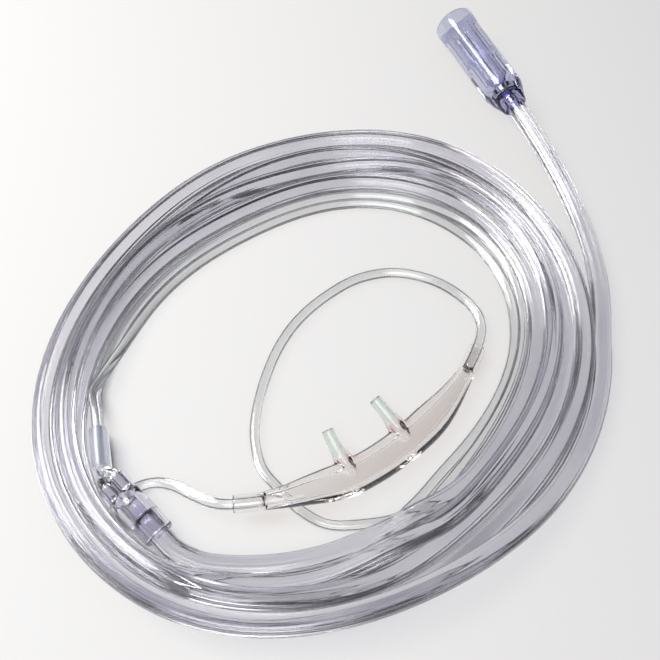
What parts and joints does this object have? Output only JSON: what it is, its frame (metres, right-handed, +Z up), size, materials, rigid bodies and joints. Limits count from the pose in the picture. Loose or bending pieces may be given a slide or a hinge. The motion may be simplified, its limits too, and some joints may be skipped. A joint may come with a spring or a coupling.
{
  "type": "nasal oxygen cannula",
  "caption": "Clear soft two-prong nosepiece on lariat tubes with a slide, a Y connector and a coiled supply tube that ends in a push-on socket.",
  "frame": {"origin": "on the surface that the cannula lies on, under the middle of the nosepiece", "axes": "+Z up; +X along the nosepiece from its left socket to its right one; the prongs point to +Y"},
  "size_m": [0.1879, 0.1406, 0.013],
  "materials": {
    "clear_vinyl": "glossy clear soft vinyl",
    "tinted_vinyl": "glossy clear vinyl with a faint violet tint",
    "violet_vinyl": "glossy clear violet vinyl",
    "frosted_vinyl": "frosted translucent vinyl"
  },
  "bodies": {
    "cannula": {"nosepiece": "clear_vinyl", "y_connector": "tinted_vinyl", "end_connector": "violet_vinyl", "supply_coil": "tinted_vinyl", "supply_tube_lead": "tinted_vinyl", "supply_tube_tail": "tinted_vinyl", "lariat_tube_right_lead": "clear_vinyl", "lariat_tube_left_lead": "clear_vinyl", "lariat_tube_right": "clear_vinyl", "lariat_tube_left": "clear_vinyl"},
    "slide": {"slide": "frosted_vinyl"}
  },
  "joints": [
    {"name": "slide_along_lariats", "type": "slide", "parent": "cannula", "child": "slide", "axis": [0.4067, 0.9135, 0], "range_m": [0, 0.005]}
  ]
}
